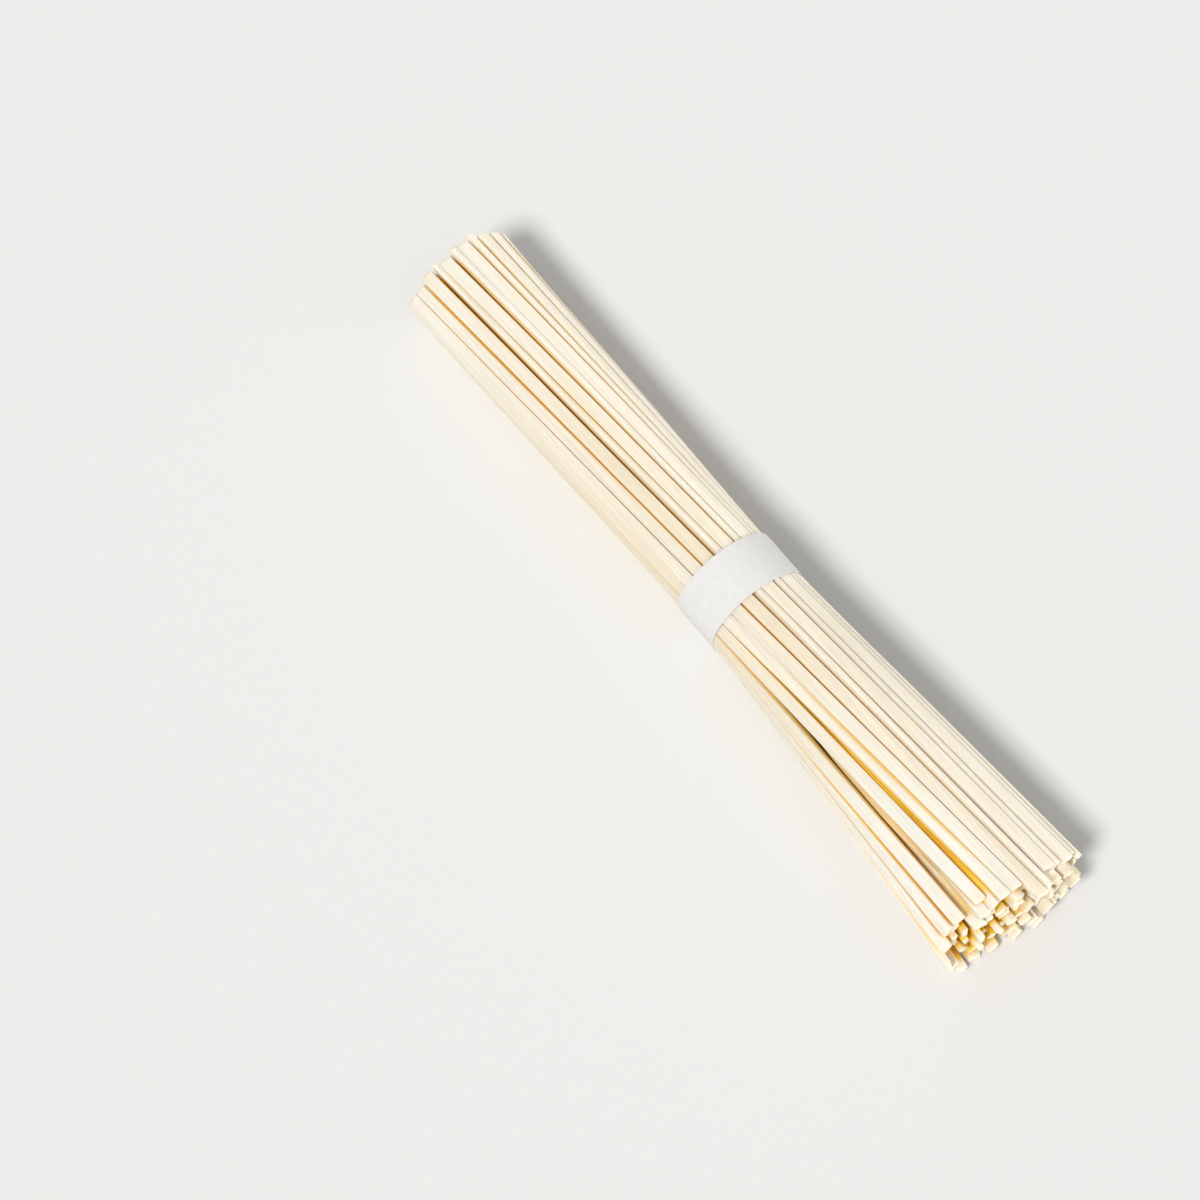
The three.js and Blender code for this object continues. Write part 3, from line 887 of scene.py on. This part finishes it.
def paper_band(noodles, place, material):
    """The strip of paper: two skins a thickness apart, closed along their edges."""
    corners = points_under_band(noodles, place)
    count = PAPER_SIDES + round(PAPER_SIDES * PAPER_LAP)
    steps = np.arange(count + 1)
    angles = PAPER_START + 2 * math.pi * steps / PAPER_SIDES
    climb = np.clip((steps - PAPER_SIDES + PAPER_CLIMB) / PAPER_CLIMB, 0, 1)
    lower = PAPER_GAP + climb * PAPER_THICKNESS
    points = []
    for lift in (0, PAPER_THICKNESS):
        skin = paper_outline(corners, angles, lower + lift)
        for x in np.linspace(-PAPER_WIDTH / 2, PAPER_WIDTH / 2, PAPER_ROWS):
            points.append(np.column_stack([np.full(count, x), skin]))
    points = np.concatenate(points)
    piece = make_piece("paper_strip", points, strip_faces(PAPER_ROWS, count), place, material)
    # Painted shade on the paper's right side.
    give_values(piece, "paper_painted_shade", np.interp(points[:, 1], *zip(*PAPER_SHADE_ACROSS)))
    piece.data.set_sharp_from_angle(angle=PAPER_SHARP)
    return piece


# Materials

def new_material(name, finish):
    """A material and its shader, with the values that are the same all over set on it."""
    material = bpy.data.materials.new(name)
    material.use_nodes = True
    shader = material.node_tree.nodes["Principled BSDF"]
    for socket, value in finish.items():
        shader.inputs[socket].default_value = value
    return material, shader


def feed(tree, socket, value):
    """Links a socket to another node's socket, or sets it to a number or colour."""
    if isinstance(value, bpy.types.NodeSocket):
        tree.links.new(value, socket)
    else:
        socket.default_value = value


def add_node(tree, kind, **values):
    """A node with the given inputs."""
    node = tree.nodes.new(kind)
    for name, value in values.items():
        feed(tree, node.inputs[name], value)
    return node


def mix_colours(tree, share, one, two, blend="MIX"):
    """A mix that goes from one colour to the other with the share."""
    node = tree.nodes.new("ShaderNodeMix")
    node.data_type = "RGBA"
    node.blend_type = blend
    for number, value in zip(MIX_INPUTS, (share, one, two)):
        feed(tree, node.inputs[number], value)
    return node.outputs[MIX_RESULT]


def ramp(tree, share, stops):
    """A colour that runs from a first stop to a second, each a share and a colour."""
    node = add_node(tree, "ShaderNodeValToRGB", Fac=share)
    for element, (position, colour) in zip(node.color_ramp.elements, stops):
        element.position = position
        element.color = colour
    return node.outputs["Color"]


def stored(tree, name):
    """A value that the mesh holds for each of its points."""
    node = tree.nodes.new("ShaderNodeAttribute")
    node.attribute_name = name
    return node.outputs["Fac"]


def noise(tree, scale, detail, distortion=0.0):
    """Noise in the object's own coordinates, with a scale for each direction."""
    coordinates = tree.nodes.new("ShaderNodeTexCoord")
    mapping = add_node(tree, "ShaderNodeMapping", Vector=coordinates.outputs["Object"], Scale=scale)
    vector = mapping.outputs["Vector"]
    inputs = {"Vector": vector, "Scale": 1.0, "Detail": detail, "Distortion": distortion}
    return add_node(tree, "ShaderNodeTexNoise", **inputs).outputs["Fac"]


def add_bump(tree, shader, height, strength, depth):
    bump = add_node(tree, "ShaderNodeBump", Height=height, Strength=strength, Distance=depth)
    feed(tree, shader.inputs["Normal"], bump.outputs["Normal"])


def noodle_material():
    """Cream faces with fine streaks, painted light and painted shade on the two sides, and painted
    shade and a painted golden glow where the noodles hide each other.
    """
    material, shader = new_material("noodle_cream", NOODLE_FINISH)
    tree = material.node_tree
    cream = mix_colours(tree, stored(tree, "tone"), *FACE_COLOURS)
    # Painted shade on the shaded right side.
    plain = mix_colours(tree, stored(tree, "painted_shade"), cream, PAINTED_SHADE_FACE)
    # Painted light on the lit left side.
    face = mix_colours(tree, stored(tree, "painted_light"), plain, PAINTED_LIGHT_FACE)
    streaks = ramp(tree, noise(tree, **STREAK_NOISE), STREAK_STOPS)
    streaked = mix_colours(tree, 1.0, face, streaks, "MULTIPLY")
    # A painted golden glow in the gaps on the lit left side, painted beige shade on the right.
    painted_glow = stored(tree, "painted_glow")
    shallow = mix_colours(tree, painted_glow, SHALLOW_PAINTED_SHADE, SHALLOW_PAINTED_GLOW)
    deep = mix_colours(tree, painted_glow, DEEP_PAINTED_SHADE, DEEP_PAINTED_GLOW)
    # Painted shade in the gaps, from shallow to deep.
    painted_gap_shade = stored(tree, "painted_gap_shade")
    shaded_gap = mix_colours(tree, ramp(tree, painted_gap_shade, DEEP_STOPS), shallow, deep)
    # Fainter painted shade in the gaps on the right side.
    gap = mix_colours(tree, stored(tree, "faint_gap_shade"), shaded_gap, FAINT_GAP_SHADE)
    colour = mix_colours(tree, ramp(tree, painted_gap_shade, SHALLOW_STOPS), streaked, gap)
    feed(tree, shader.inputs["Base Color"], colour)
    add_bump(tree, shader, noise(tree, **GRAIN_NOISE), **GRAIN_BUMP)
    return material


def paper_material():
    """Cloudy white paper with fine fibres, and painted shade that makes its right side greyer."""
    material, shader = new_material("band_paper", PAPER_FINISH)
    tree = material.node_tree
    white = ramp(tree, noise(tree, **CLOUD_NOISE), PAPER_STOPS)
    # Painted shade on the paper's right side.
    paper_painted_shade = mix_colours(tree, 1.0, white, PAPER_PAINTED_SHADE, "MULTIPLY")
    colour = mix_colours(tree, stored(tree, "paper_painted_shade"), white, paper_painted_shade)
    feed(tree, shader.inputs["Base Color"], colour)
    add_bump(tree, shader, noise(tree, **FIBRE_NOISE), **FIBRE_BUMP)
    return material


# Stage

def make_floor():
    half = FLOOR_HALF
    mesh = bpy.data.meshes.new("floor")
    corners = [(-half, -half, 0), (half, -half, 0), (half, half, 0), (-half, half, 0)]
    mesh.from_pydata(corners, [], [(0, 1, 2, 3)])
    mesh.materials.append(new_material("floor_pale", FLOOR_FINISH)[0])
    add_object("floor", mesh)


def make_sun(name, towards, strength, width):
    """A light from one direction, so many degrees wide."""
    light = bpy.data.lights.new(name, "SUN")
    light.energy = strength
    light.angle = math.radians(width)
    sun = add_object(name, light)
    sun.rotation_euler = Vector(towards).to_track_quat("Z", "Y").to_euler()
    return sun


def make_lights(bundle):
    """The surround and the two suns. The fill lights only the bundle's pieces, and isn't passed on."""
    world = bpy.data.worlds.new("studio")
    world.use_nodes = True
    background = world.node_tree.nodes["Background"]
    background.inputs["Color"].default_value = WORLD_COLOUR
    background.inputs["Strength"].default_value = WORLD_STRENGTH
    bpy.context.scene.world = world
    make_sun("key", **KEY_SUN)
    fill = make_sun("fill", **FILL_SUN)
    fill.data.color = FILL_COLOUR
    fill.data.cycles.max_bounces = 0
    lit = bpy.data.collections.new("lit_by_fill")
    for piece in bundle:
        lit.objects.link(piece)
    fill.light_linking.receiver_collection = lit


def make_camera():
    """The photograph's view, turned so that the band's middle lands on its pixel."""
    low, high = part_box("paper_band")
    middle = (low + high) / 2
    back = Vector((
        math.sin(VIEW_AZIMUTH) * math.cos(VIEW_ELEVATION),
        -math.cos(VIEW_AZIMUTH) * math.cos(VIEW_ELEVATION),
        math.sin(VIEW_ELEVATION),
    ))
    right = Vector((math.cos(VIEW_AZIMUTH), math.sin(VIEW_AZIMUTH), 0))
    up = back.cross(right)
    across = (BAND_PIXEL[0] - PICTURE / 2) / PIXELS_PER_METRE
    down = (BAND_PIXEL[1] - PICTURE / 2) / PIXELS_PER_METRE
    aim = middle - right * across + up * down
    eye = middle + back * VIEW_DISTANCE
    look = (eye - aim).normalized()
    side = up.cross(look).normalized()
    turn = Matrix((side, look.cross(side), look)).transposed()
    lens = bpy.data.cameras.new("camera")
    lens.sensor_fit = "HORIZONTAL"
    lens.angle = 2 * math.atan(PICTURE / 2 / (PIXELS_PER_METRE * VIEW_DISTANCE))
    camera = add_object("camera", lens)
    camera.matrix_world = Matrix.Translation(eye) @ turn.to_4x4()
    bpy.context.scene.camera = camera


# The bundle on its stage

stations = lay_out()
ends = noodle_ends(stations)
place = layout_place(stations, ends)

noodles = noodle_bundle(stations, ends, place, noodle_material())
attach(noodles, "root")
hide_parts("noodles")

band = paper_band(noodles, place, paper_material())
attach(band, "root")
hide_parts("paper_band")

make_floor()
make_lights((noodles, band))
make_camera()
bpy.context.scene.view_settings.view_transform = "Standard"
